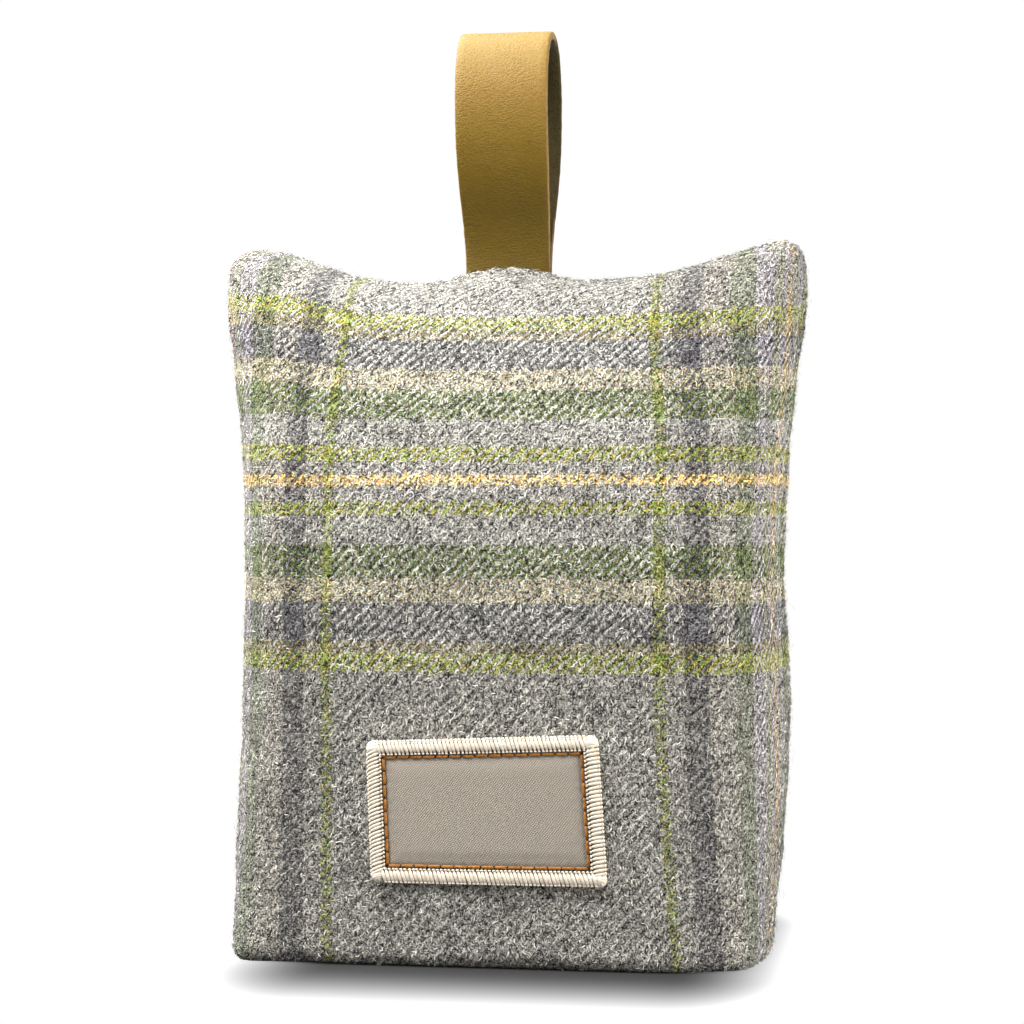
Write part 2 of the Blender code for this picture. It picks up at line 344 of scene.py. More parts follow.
class Nodes:
    """A short way to write a material's nodes. Numbers and values both serve as inputs."""

    def __init__(self, name, roughness, sheen=0.0, sheen_roughness=0.5, specular=0.5):
        self.material = bpy.data.materials.new(name)
        self.material.use_nodes = True
        self.tree = self.material.node_tree
        self.shader = self.tree.nodes["Principled BSDF"]
        for socket, value in (
            ("Roughness", roughness),
            ("Sheen Weight", sheen),
            ("Sheen Roughness", sheen_roughness),
            ("Specular IOR Level", specular),
        ):
            self.shader.inputs[socket].default_value = value

    def add(self, kind, inputs=(), output=0, **settings):
        node = self.tree.nodes.new(kind)
        for key, value in settings.items():
            setattr(node, key, value)
        for key, value in dict(inputs).items():
            self.feed(node.inputs[key], value)
        return Value(self, node.outputs[output])

    def feed(self, socket, value):
        if isinstance(value, Value):
            self.tree.links.new(value.socket, socket)
        else:
            socket.default_value = (*value, 1.0) if socket.type == "RGBA" else value

    def math(self, operation, first, second=0.0, clamp=False):
        return self.add("ShaderNodeMath", {0: first, 1: second}, operation=operation, use_clamp=clamp)

    def vector(self, operation, first, second=(0.0, 0.0, 0.0), output=0):
        return self.add("ShaderNodeVectorMath", {0: first, 1: second}, output, operation=operation)

    def hump(self, share):
        """From 0 at both ends of a share to 1 in its middle."""
        return self.math("SINE", share * math.pi)

    def remap(self, value, low, high, to_low=0.0, to_high=1.0):
        return self.add("ShaderNodeMapRange", enumerate((value, low, high, to_low, to_high)))

    def mix(self, share, first, second, blend="MIX"):
        inputs = {0: share, 6: first, 7: second}
        return self.add("ShaderNodeMix", inputs, 2, data_type="RGBA", blend_type=blend)

    def times(self, colour, other):
        return self.mix(1.0, colour, other, "MULTIPLY")

    def mix_value(self, share, first, second):
        return self.add("ShaderNodeMix", {0: share, 2: first, 3: second})

    def uv(self, name):
        return self.add("ShaderNodeUVMap", uv_map=name)

    def place(self):
        """The place on the object itself, in metres."""
        return self.add("ShaderNodeTexCoord", output=3)

    def split(self, vector):
        node = self.tree.nodes.new("ShaderNodeSeparateXYZ")
        self.feed(node.inputs[0], vector)
        return [Value(self, output) for output in node.outputs]

    def noise(self, vector, scale, detail=2.0, roughness=0.5, distortion=0.0, output=0):
        inputs = dict(Vector=vector, Scale=scale, Detail=detail, Roughness=roughness, Distortion=distortion)
        return self.add("ShaderNodeTexNoise", inputs, output)

    def stretch(self, vector, scale, angle=0.0):
        inputs = {"Vector": vector, "Rotation": (0.0, 0.0, angle), "Scale": (*scale, 1.0)}
        return self.add("ShaderNodeMapping", inputs, vector_type="TEXTURE")

    def ramp(self, value, stops, interpolation="LINEAR"):
        node = self.tree.nodes.new("ShaderNodeValToRGB")
        ramp = node.color_ramp
        ramp.interpolation = interpolation
        while len(ramp.elements) < len(stops):
            ramp.elements.new(1.0)
        for element, (place, *colour) in zip(ramp.elements, stops):
            element.position = place
            element.color = (*srgb(*colour), 1.0)
        self.feed(node.inputs[0], value)
        return Value(self, node.outputs[0])

    def bump(self, height, distance, strength=1.0):
        return self.add("ShaderNodeBump", dict(Height=height, Distance=distance, Strength=strength))

    def finish(self, colour, bump=None, roughness=None):
        for socket, value in (("Base Color", colour), ("Normal", bump), ("Roughness", roughness)):
            if value:
                self.feed(self.shader.inputs[socket], value)
        return self.material


def srgb(red, green, blue):
    """A colour as seen on screen, from 0 to 255, as the linear colour that the shader takes."""
    shares = (red / 255.0, green / 255.0, blue / 255.0)
    return tuple(c / 12.92 if c <= 0.04045 else ((c + 0.055) / 1.055) ** 2.4 for c in shares)


# The wool's check. It is the same across and up, and runs the same both ways from its orange line.
HALF_REPEAT = 90.9
WEFT_ORANGE = 123.7
CHECK = (
    # starts this far from the orange line's middle, the stripe's mean colour
    (0.0, 238, 202, 128),
    (1.3, 148, 143, 137),
    (5.2, 146, 152, 64),
    (9.1, 146, 144, 137),
    (16.5, 90, 105, 44),
    (25.0, 166, 157, 128),
    (31.6, 94, 92, 94),
    (40.6, 124, 116, 80),
    (44.0, 144, 150, 58),
    (48.9, 134, 131, 124),
)
CHECK_ACROSS = (
    # the same stripes in the warp, which is fainter
    (0.0, 204, 180, 138),
    (1.6, 173, 166, 172),
    (5.2, 162, 164, 138),
    (8.6, 177, 171, 179),
    (16.5, 119, 127, 103),
    (25.0, 166, 161, 152),
    (33.2, 86, 84, 90),
    (40.2, 164, 161, 155),
    (44.8, 138, 147, 80),
    (48.1, 176, 174, 168),
)
DARK_FIBRE, LIGHT_FIBRE = (0.03, 0.03, 0.04), (2.6, 2.58, 2.5)  # shares of the mean colour
WHITE_FIBRE = (0.66, 0.65, 0.61)
WARP_PITCH, WEFT_PITCH = 0.725, 0.70
TWILL = 4.0  # yarns to a repeat of the twill, half of them with the warp up


def check_colour(n, place, stripes):
    """The mean colour at a distance from the orange line."""
    stops = [(start / HALF_REPEAT, *colour) for start, *colour in stripes]
    return n.ramp(place / HALF_REPEAT, stops, "CONSTANT")


def wool_colours(n, cloth, fleck):
    """The relief of the weave, and the cloth's colour. Each crossing takes one yarn's colour."""
    across, up, _ = n.split(cloth)
    warp, weft = across / WARP_PITCH, up / WEFT_PITCH
    end, pick = n.math("FLOOR", warp), n.math("FLOOR", weft)
    along_warp, along_weft = n.math("FRACT", weft), n.math("FRACT", warp)
    step = n.math("FLOORED_MODULO", end - pick, TWILL)
    warp_up = n.math("LESS_THAN", step, 1.5)
    warp_float = (along_warp + n.math("LESS_THAN", step, 0.5)) * 0.5
    weft_float = (along_weft + n.math("GREATER_THAN", step, 2.5)) * 0.5
    arch = n.hump(n.mix_value(warp_up, weft_float, warp_float))
    round_yarn = n.hump(n.mix_value(warp_up, along_warp, along_weft))
    relief = n.math("POWER", arch * round_yarn, 0.5)
    warp_place = n.math("PINGPONG", (end + 0.5) * WARP_PITCH - HALF_REPEAT, HALF_REPEAT)
    weft_place = n.math("PINGPONG", (pick + 0.5) * WEFT_PITCH - WEFT_ORANGE, HALF_REPEAT)
    of_warp = n.remap(warp_up, 0.0, 1.0, 0.06, 0.86)  # the felted yarns share some fibres
    yarn = n.mix(of_warp, check_colour(n, weft_place, CHECK), check_colour(n, warp_place, CHECK_ACROSS))
    colour = n.times(yarn, n.mix(fleck, DARK_FIBRE, LIGHT_FIBRE))
    return relief, n.mix(n.remap(fleck, 0.62, 1.0, 0.0, 0.34), colour, WHITE_FIBRE)


def tinted(n, colour, cloth):
    """The dyed fibres lean to yellow in places and to green in others, and the grey ones hardly."""
    tint = n.mix(n.remap(n.noise(cloth, 0.65), 0.35, 0.65), (0.80, 1.06, 0.98), (1.30, 0.93, 0.72))
    dyed = n.add("ShaderNodeSeparateColor", {0: colour}, 1, mode="HSV")
    return n.times(colour, n.mix(n.remap(dyed, 0.22, 0.62, 0.06, 0.85), (1.0, 1.0, 1.0), tint))


def wool_material():
    """The cloth under its nap."""
    n = Nodes("checked_wool", roughness=0.95, sheen=0.12, sheen_roughness=0.6, specular=0.12)
    flat = n.uv("cloth")
    wander = n.vector("SUBTRACT", n.noise(flat, 0.9, output=1), (0.5, 0.5, 0.5))
    cloth = n.vector("ADD", flat, n.vector("MULTIPLY", wander, (1.3, 1.3, 1.3)))
    strokes = [
        n.noise(n.stretch(flat, (0.46, 1.6), angle), 1.0, roughness=0.65, distortion=0.7)
        for angle in (-0.7, -0.2, 0.9)
    ]
    grain = n.noise(flat, 2.2, roughness=0.6, distortion=0.8)
    highest, lowest = (
        n.math(kind, n.math(kind, *strokes[:2]), strokes[2]) for kind in ("MAXIMUM", "MINIMUM")
    )
    fleck = n.remap(highest - 0.5 + (lowest - 0.5) + (grain - 0.5) * 0.7, -0.17, 0.19)
    relief, colour = wool_colours(n, cloth, fleck)
    # Painted shade: the colour darkens where the weave's relief is low, in the hollows between the yarns.
    colour = n.times(tinted(n, colour, flat), n.remap(relief, 0.0, 0.75, 0.22, 0.80))
    return n.finish(colour, n.bump(relief * 0.6 + fleck * 0.4, 0.3 * MM, 0.9))


def nap_material():
    """Single fibres and tufts, each with the colour of the yarn that it grows from."""
    n = Nodes("wool_nap", roughness=0.9, sheen=0.1, sheen_roughness=0.5, specular=0.12)
    cloth = n.uv("cloth")
    shade = n.add("ShaderNodeAttribute", output="Fac", attribute_name="shade")
    return n.finish(tinted(n, wool_colours(n, cloth, shade)[1], cloth))


# The bag.
def section_share(across, depth):
    """Where a cage line stands in a section, as shares of its half width and half depth."""
    side = {0: -1.0, len(FRONT_LINES) + 1: 1.0}.get(across)
    front = {0: -1.0, len(SIDE_LINES) + 1: 1.0}.get(depth)
    if side and front:
        return side * CORNER_LINE[0], front * CORNER_LINE[1]
    if side:
        out, reach = SIDE_LINES[depth - 1]
        return side * reach, out
    reach, out = FRONT_LINES[across - 1]
    return reach, out * (front or SIDE_LINES[depth - 1][0])


def cage_point(across, depth, level):
    """Where the cage's vertex on these three lines goes, in metres."""
    *sizes, squareness = SECTIONS_MM[level]
    height, middle, half_width, half_depth = (size * MM for size in sizes)
    edge, shoulder, seam = (size * MM for size in TOP_LINES_MM[across])
    x_share, y_share = section_share(across, depth)
    if depth in (0, len(SIDE_LINES) + 1):
        y_share += squareness * (math.copysign(1.0, y_share) - y_share)
    if level == len(SECTIONS_MM) - 1:
        height = (edge, shoulder, seam, shoulder, edge)[depth]
    elif level in EDGE_FOLLOW:
        height += EDGE_FOLLOW[level] * (edge - SECTIONS_MM[-1][0] * MM)
    return Vector((middle + x_share * half_width, y_share * half_depth, height))


def lattice_mesh(counts, place):
    """A cube cut into the cage's lines, each vertex put where place says."""
    bm = bmesh.new()
    bmesh.ops.create_cube(bm, size=2.0)
    for axis, count in enumerate(counts):
        edges = [e for e in bm.edges if abs((e.verts[0].co - e.verts[1].co)[axis]) > 1e-6]
        bmesh.ops.subdivide_edges(bm, edges=edges, cuts=count - 1, use_grid_fill=True)
    for vertex in bm.verts:
        lines = [round((at + 1.0) / 2.0 * count) for at, count in zip(vertex.co, counts)]
        vertex.co = place(*lines)
    mesh = bpy.data.meshes.new("cage")
    bm.to_mesh(mesh)
    bm.free()
    return mesh


def subdivided(mesh, kind):
    """The mesh after subdivision, as a new mesh."""
    holder = new_object("cage_holder", mesh)
    soft = holder.modifiers.new("soft", "SUBSURF")
    soft.subdivision_type = kind
    soft.levels = soft.render_levels = BAG_LEVELS
    depsgraph = bpy.context.evaluated_depsgraph_get()
    made = bpy.data.meshes.new_from_object(holder.evaluated_get(depsgraph))
    bpy.data.objects.remove(holder, do_unlink=True)
    return made


class Bag:
    """The fine bag's mesh, its points in metres and the lattice place of each."""

    def __init__(self):
        counts = (len(FRONT_LINES) + 1, len(SIDE_LINES) + 1, len(SECTIONS_MM) - 1)
        self.mesh = subdivided(lattice_mesh(counts, cage_point), "CATMULL_CLARK")
        plain = subdivided(lattice_mesh(counts, lambda *lines: Vector(lines)), "SIMPLE")
        self.steps = np.rint(read(plain.vertices, "co", 3) * BAG_CUTS).astype(int)
        self.last = np.array(counts) * BAG_CUTS
        self.at = np.full(self.last + 1, -1)
        self.at[tuple(self.steps.T)] = np.arange(len(self.steps))
        self.points = read(self.mesh.vertices, "co", 3)
        self.points[:, 2] = np.maximum(self.points[:, 2], 0.0)

    def ring(self):
        """The lattice places round a section, from the front's middle past the right side."""
        wide, deep, _ = self.last
        places = [(i, 0) for i in range(wide)] + [(wide, j) for j in range(deep)]
        places += [(i, deep) for i in range(wide, 0, -1)] + [(0, j) for j in range(deep, 0, -1)]
        return np.roll(places, -(wide // 2), axis=0)


def lengths_along(points, axis):
    """Running lengths in millimetres along one axis of a grid of points, from 0."""
    steps = np.linalg.norm(np.diff(points, axis=axis), axis=-1) / MM
    start = np.zeros_like(np.take(steps, [0], axis=axis))
    return np.cumsum(np.concatenate([start, steps], axis=axis), axis=axis)


def drawn_across(arc, height):
    """Cloth across, from length along a section: a corner takes up more cloth than its length."""
    high = smoothstep(*EARS, height)
    tuck = TUCK * (1.0 - 0.8 * high) * smoothstep(*TUCK_REACH, arc)
    tuck = tuck + EAR_TUCK * high * smoothstep(*EAR_TUCK_REACH, arc)
    return arc * (DRAWN + DRAWN_AT_EARS * high) + tuck


def cloth_places(bag):
    """For each vertex, its place on the front panel's and on the back panel's cloth, in millimetres."""
    wide, deep, high = bag.last
    ring = bag.ring()
    around = bag.points[bag.at[ring[:, 0], ring[:, 1], np.arange(high + 1)[:, None]]]
    arc = lengths_along(np.concatenate([around, around[:, :1]], axis=1), 1)
    up = lengths_along(around, 0)
    for column, heights in enumerate(around[..., 2].T / MM):
        up[:, column] += LEVEL_HEIGHT - np.interp(LEVEL_HEIGHT, heights, up[:, column])
    quarter = (wide + deep) // 2
    panels = []
    for middle in (0, len(ring) // 2):
        cloth = np.full((len(bag.points), 2), np.nan)
        for step in range(-quarter, quarter + 1):
            place = (middle + step) % len(ring)
            reach = arc[:, place] - arc[:, middle] - (arc[:, -1] if middle + step < 0 else 0.0)
            vertices = bag.at[tuple(ring[place])]
            across = drawn_across(np.abs(reach), bag.points[vertices, 2] / MM)
            cloth[vertices] = np.stack([np.sign(step) * across, up[:, place]], 1)
        panels.append(cloth)
    top, rows = np.arange(wide + 1), np.arange(deep // 2 + 1)[:, None]
    share = smoothstep(0.0, deep / 2.0, rows)
    for cloth, edge, inwards in ((panels[0], 0, 1), (panels[1], deep, -1)):
        places = bag.at[top, edge + inwards * rows, high]
        points = bag.points[places]
        away = np.abs(points[..., 0]) / MM
        seam_across = TOP_DRAWN * away + TOP_TUCK * smoothstep(*TOP_TUCK_REACH, away)
        seam_across *= np.sign(top - wide // 2) * inwards
        at_edge = cloth[places[0]]
        cloth[places, 0] = at_edge[:, 0] * (1.0 - share) + seam_across * share
        cloth[places, 1] = at_edge[:, 1] + lengths_along(points, 0)
    return panels


def settle_cloth(cloth, points):
    """The cloth's unevenness: it runs askew near the base, and its upper lines rise and fall."""
    low = np.clip(1.0 - points[:, 2] / MM / DRIFT_TOP, 0.0, 1.0) ** 1.5
    cloth[:, 0] += (np.interp(cloth[:, 0], *np.array(SPREAD).T) - DRIFT) * low
    rise = np.interp(cloth[:, 0], *np.array(WEFT_RISE).T)
    cloth[:, 1] += rise * np.clip((cloth[:, 1] - WEFT_ORANGE) / RISE_OVER, 0.0, RISE_MOST)


def lumps(points, rng):
    """A gentle unevenness of the filling, in millimetres along the surface's normal."""
    total = np.zeros(len(points))
    for _ in range(LUMP_WAVES):
        turn = rng.normal(size=3)
        turn *= 2.0 * math.pi / (rng.uniform(*LUMP_LENGTHS) * np.linalg.norm(turn))
        total += np.sin(points @ turn + rng.uniform(0.0, 2.0 * math.pi))
    return total * LUMP / math.sqrt(LUMP_WAVES / 2.0)


def bell(value, width):
    """1 at 0, and down towards 0 on both sides."""
    return np.exp(-((value / width) ** 2))


def seam_relief(points):
    """The turned seam over the top and down both sides: a groove between two low swells."""
    x, y, z = points.T
    off = np.abs(y)
    away = np.maximum(smoothstep(*SEAM_TOP, z), smoothstep(*SEAM_SIDES, np.abs(x)))
    gathers = 1.0 + 0.5 * np.sin(x * 1.9) * np.sin(x * 0.83 + 1.0)
    swell = SWELL * bell(off - SWELL_OFF, SWELL_WIDTH)
    return (swell * gathers - SEAM_DEPTH * bell(off, SEAM_WIDTH)) * smoothstep(*SEAM_FOOT, z) * away


def round_the_strap(points):
    """How far the wool's lips stand up against the strap's foot, and which points are in its slot."""
    x, y, z = points.T
    x, off = x - STRAP_CENTRE_X, np.abs(y)
    past = np.maximum(np.abs(x) - (STRAP_FOOT_WIDTH / 2.0 + SLOT_PAST), 0.0)
    reach = np.hypot(past, np.maximum(off - SLOT_HALF, 0.0))
    gathers = GATHER * np.sin(x * GATHER_TURN) * bell(reach - 4.0, 3.5)
    rise = (LIP * bell(reach, LIP_WIDTH) + gathers) * smoothstep(168.0, 174.0, z)
    return rise, (past < 0.05) & (off < 2.5) & (z > 170.0)


def settle_base(points):
    """The bag stands on softer corners: behind its front the base draws in, and its edge dips."""
    x, y, z = points.T
    right, back, low = (smoothstep(*reach, at) for reach, at in zip(BASE_TUCK_REACH, (x, y, z)))
    low = 1.0 - low
    x = x - BASE_TUCK * right * back * low
    right, back = (smoothstep(*reach, at) for reach, at in zip(BASE_CORNER_REACH, (x, y)))
    y = y + BASE_CORNER * (right * (1.0 - back)) * low**2
    edge = (1.0 - np.clip(z / BASE_ROUND, 0.0, 1.0)) ** 2
    x, y = (at * (1.0 - edge * inwards / half) for at, inwards, half in zip((x, y), BASE_IN, BASE_HALF))
    rim = smoothstep(0.93, 1.0, np.maximum(np.abs(x) / BASE_RIM[0], np.abs(y) / BASE_RIM[1])) * edge
    z = z + rim * (0.45 + 0.28 * np.sin(x * 0.13 + 0.8) + 0.22 * np.sin(x * 0.31 + y * 0.24 + 2.0))
    return np.stack([x, y, np.maximum(z, 0.0)], 1)


def beyond_label(across, up):
    """How far a place lies outside the label's edge, and below 0 inside it."""
    return np.maximum(np.abs(across) - LABEL_SIZE[0] / 2.0, np.abs(up) - LABEL_SIZE[1] / 2.0)


def shape_bag(bag, rng):
    """Moves the bag's points along their normals, and settles its top and base."""
    mesh = bag.mesh
    mesh.vertices.foreach_set("co", bag.points.ravel())
    mesh.update()
    points = bag.points / MM
    x, y, z = points.T
    on_label = beyond_label(x - LABEL_CENTRE[0], z - LABEL_CENTRE[1])
    calm = np.where(y < 0.0, smoothstep(-1.0, 6.0, on_label), 1.0)
    lips, inside = round_the_strap(points)
    relief = (lumps(points, rng) - NAP_ROOM) * calm * smoothstep(0.0, 8.0, z) + seam_relief(points)
    relief[inside | (z < 0.05)] = 0.0
    moved = points + read(mesh.vertices, "normal", 3) * relief[:, None]
    moved[:, 2] += lips
    moved[inside, 2] = SLOT_FLOOR
    bag.points = settle_base(moved) * MM
    mesh.vertices.foreach_set("co", bag.points.ravel())
    mesh.update()


def bag_charts(bag, corners):
    """Each of the lattice's six sides as its own rectangle of a square map."""
    steps = bag.steps[corners]
    middle, share = steps.mean(1), steps / bag.last
    places = np.zeros((*corners.shape, 2))
    for out, end, axes, start, size in (
        # axis out of the side, its end, axes across and up, place and size in the map
        (1, 0, [0, 2], (0.01, 0.01), (0.46, 0.47)),
        (1, 1, [0, 2], (0.51, 0.01), (0.46, 0.47)),
        (0, 0, [1, 2], (0.01, 0.51), (0.25, 0.47)),
        (0, 1, [1, 2], (0.28, 0.51), (0.25, 0.47)),
        (2, 0, [0, 1], (0.55, 0.51), (0.43, 0.24)),
        (2, 1, [0, 1], (0.55, 0.78), (0.43, 0.20)),
    ):
        chosen = np.abs(middle[:, out] - end * bag.last[out]) < 0.01
        places[chosen] = np.array(start) + np.array(size) * share[chosen][..., axes]
    return places


def make_bag(surface, rng):
    bag = Bag()
    panels = cloth_places(bag)
    for cloth in panels:
        settle_cloth(cloth, bag.points)
    shape_bag(bag, rng)
    mesh = bag.mesh
    corners = read(mesh.loops, "vertex_index", kind=np.int32).reshape(-1, 4)
    steps = bag.steps[corners].mean(1)
    in_front = (steps[:, 1] < bag.last[1] / 2)[:, None, None]
    places = np.where(in_front, panels[0][corners], panels[1][corners])
    under = steps[:, 2] < 0.01
    flat = bag.points[corners[under], :2] / MM
    places[under] = flat * (1.0, 0.8) + (0.0, WEFT_ORANGE - HALF_REPEAT)
    for name, uvs in (("cloth", places), ("OFBake", bag_charts(bag, corners))):
        mesh.uv_layers.new(name=name).data.foreach_set("uv", uvs.ravel())
    mesh.shade_smooth()
    return new_object("wool_bag", mesh, [surface])


# The nap.
def roots_on(bag, count, rng):
    """Places spread evenly over the bag, but not under it or beneath the label: points, normals, cloth."""
    mesh = bag.data
    mesh.calc_loop_triangles()
    loops = read(mesh.loop_triangles, "loops", 3, np.int32)
    vertices = read(mesh.loops, "vertex_index", kind=np.int32)[loops]
    corner = read(mesh.vertices, "co", 3)[vertices] / MM
    normals = read(mesh.vertices, "normal", 3)[vertices]
    cloth = read(mesh.uv_layers["cloth"].data, "uv", 2)[loops]
    area = np.linalg.norm(np.cross(corner[:, 1] - corner[:, 0], corner[:, 2] - corner[:, 0]), axis=1)
    x, y, z = corner.mean(1).T
    in_slot = (np.abs(x - STRAP_CENTRE_X) < STRAP_FOOT_WIDTH / 2.0 + 0.3) & (np.abs(y) < 2.9) & (z > 150.0)
    behind_label = (beyond_label(*front_to_label(x, z)) < 0.1) & (y < 0.0)
    area[(z < 0.15) | in_slot | behind_label] = 0.0
    area[(np.abs(y) < 0.6) & ((np.abs(x) > 62.0) | (z > 172.0))] *= 0.3  # on the seam
    running = np.cumsum(area)
    chosen = np.searchsorted(running, rng.uniform(0.0, running[-1], count))
    chosen = np.minimum(chosen, len(area) - 1)
    first, second = np.sqrt(rng.uniform(size=count)), rng.uniform(size=count)
    weights = np.stack([1.0 - first, first * (1.0 - second), first * second], 1)[..., None]
    point, normal, place = ((values[chosen] * weights).sum(1) for values in (corner, normals, cloth))
    return point, unit(normal), place


def floats(cloth, rng):
    """Where the twill has its warp on top, and one random number for each float of a yarn."""
    ends, picks = np.floor(cloth / (WARP_PITCH, WEFT_PITCH)).astype(int).T
    step = np.mod(ends - picks, int(TWILL))
    first_end, first_pick = ends - (step == 3), picks - (step == 0)
    return step < 2, rng.uniform(size=(512, 512))[first_end % 512, first_pick % 512]


def clumps(cloth, wide, long, rng):
    """A smooth random field over the cloth from 0 to 1, drawn out along the twill."""
    c, s = math.cos(TWILL_TURN), math.sin(TWILL_TURN)
    along = (cloth[:, 0] * c + cloth[:, 1] * s) / long
    across = (cloth[:, 1] * c - cloth[:, 0] * s) / wide
    field = rng.uniform(size=(256, 256))
    return between(field, along, across, lambda share: smoothstep(0.0, 1.0, share))


def turned(first, second, angle):
    return first * np.cos(angle)[:, None] + second * np.sin(angle)[:, None]


def grow(roots, lengths, widths, lift, curl, segments, rng, heading=None):
    """Tapered ribbons from the roots: their points, in rows of two to a section and one at the tip."""
    at, normal = roots
    count = len(at)
    step = (rng.uniform(*lengths, count) / segments)[:, None]
    widths = rng.uniform(*widths, count)
    lift = np.radians(rng.uniform(*lift, count))
    if heading is None:  # a hair stands off any way, and shows any side
        heading = rng.uniform(0.0, 2.0 * math.pi, count)
        curl, roll = rng.normal(0.0, curl, count), rng.uniform(0.0, math.pi, count)
    else:
        curl, roll = rng.normal(0.0, curl, count), rng.normal(0.0, TUFT_ROLL, count)
    aside = unit(np.cross((0.0, 0.0, 1.0), normal) + (0.05, 0.0, 0.0))
    upward = np.cross(normal, aside)
    at = at - normal * ROOT_DEPTH
    rows = []
    for k in range(segments + 1):
        share = k / segments
        way = turned(aside, upward, heading)
        width = widths * (0.65 + 0.7 * share - 1.1 * share**2) / 2.0
        half = turned(np.cross(normal, way), normal, roll) * width[:, None]
        rows += [at + half, at - half] if k < segments else [at]
        at = at + turned(way, normal, lift * (1.0 - 2.1 * share)) * step
        heading = heading + curl * rng.uniform(0.3, 1.7, count)
    grown = np.stack(rows, 1)
    grown[..., 2] = np.maximum(grown[..., 2], LOWEST)
    return grown


def nap_piece(name, grown, cloth, shade, surface):
    """One mesh of ribbons, each with its root's place on the cloth and its own spot in the bake."""
    count, each = grown.shape[:2]
    segments = each // 2
    base = np.arange(count)[:, None] * each
    quads = [base + (2 * k, 2 * k + 1, 2 * k + 3, 2 * k + 2) for k in range(segments - 1)]
    tips = base + (each - 3, each - 2, each - 1)
    groups = [(np.concatenate(quads), 0), (tips, 0)]
    piece = mesh_object(name, grown.reshape(-1, 3), groups, [surface])
    add_uv(piece, "cloth", np.repeat(cloth, each, axis=0))
    layer = piece.data.attributes.new("shade", "FLOAT", "POINT")
    layer.data.foreach_set("value", np.repeat(shade, each).astype(np.float32))
    cells = math.ceil(math.sqrt(count))
    corner = np.stack([np.arange(count) % cells, np.arange(count) // cells], 1) / cells
    inner = np.array([[0.2 + 0.6 * (k % 2), 0.15 + 0.7 * (k // 2) / segments] for k in range(each)])
    inner[-1] = (0.5, 0.85)
    add_uv(piece, "OFBake", (corner[:, None] + inner / cells).reshape(-1, 2))
    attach(piece, "root")


def make_nap(bag, rng):
    surface = nap_material()
    for number in range(NAP_PIECES):
        *roots, cloth = roots_on(bag, TUFTS, rng)
        on_warp, yarn = floats(cloth, np.random.default_rng(SEED))
        slanting = rng.uniform(size=TUFTS) < WITH_YARN
        with_yarn = np.where(on_warp, rng.normal(*WARP_WAY, TUFTS), rng.normal(*WEFT_WAY, TUFTS))
        heading = np.where(slanting, with_yarn, rng.uniform(0.0, math.pi, TUFTS))
        heading += math.pi * rng.integers(0, 2, TUFTS)
        grown = grow(roots, *TUFT_SHAPE, rng, heading)
        own = rng.beta(0.7, 0.7, TUFTS)
        clump = smoothstep(0.25, 0.75, clumps(cloth, *CLUMP, np.random.default_rng(SEED + 1)))
        patch = clumps(cloth, *PATCH, np.random.default_rng(SEED + 2)) - 0.5
        shade = OWN * own + OF_YARN * yarn + OF_CLUMP * clump + OF_PATCH * patch + OF_WARP * on_warp
        cloth = cloth + rng.normal(0.0, COLOUR_SPREAD, cloth.shape)
        nap_piece(f"wool_nap_{number + 1}", grown, cloth, smoothstep(*SHADE_RANGE, shade), surface)
    for name, count, lengths, widths, lift, curl, segments, draw, shares in HAIR_KINDS:
        *roots, cloth = roots_on(bag, count, rng)
        grown = grow(roots, lengths, widths, lift, curl, segments, rng)
        nap_piece(name, grown, cloth, draw(rng, *shares, count), surface)


# The strap.
def smooth_line(points, steps):
    """A Catmull-Rom curve through the points, which leaves both ends straight on."""
    ends = [2 * points[0] - points[1], *points, 2 * points[-1] - points[-2]]
    line = []
    for before, start, end, after in zip(ends, ends[1:], ends[2:], ends[3:]):
        square, cube = 2 * before - 5 * start + 4 * end - after, 3 * start - before - 3 * end + after
        for t in (step / steps for step in range(steps)):
            line.append(0.5 * (2 * start + (end - before) * t + square * t**2 + cube * t**3))
    return np.array([*line, points[-1]])


def strap_section():
    """The strip's rounded section: across from -1 to 1, past that, outwards in millimetres, the zone."""
    half = STRAP_THICKNESS / 2.0
    face = [-1.0 + 2.0 * k / FACE_CELLS for k in range(FACE_CELLS + 1)]
    turn = [math.radians(90.0 - 180.0 * k / (EDGE_CELLS + 1)) for k in range(1, EDGE_CELLS + 1)]
    edge = [(STRAP_EDGE_ROUND * math.cos(a), half * math.sin(a)) for a in turn]
    section = [(across, 0.0, half, 0) for across in face] + [(1.0, past, out, 1) for past, out in edge]
    section += [(across, 0.0, -half, 2) for across in reversed(face)]
    return np.array(section + [(-1.0, -past, out, 1) for past, out in reversed(edge)])


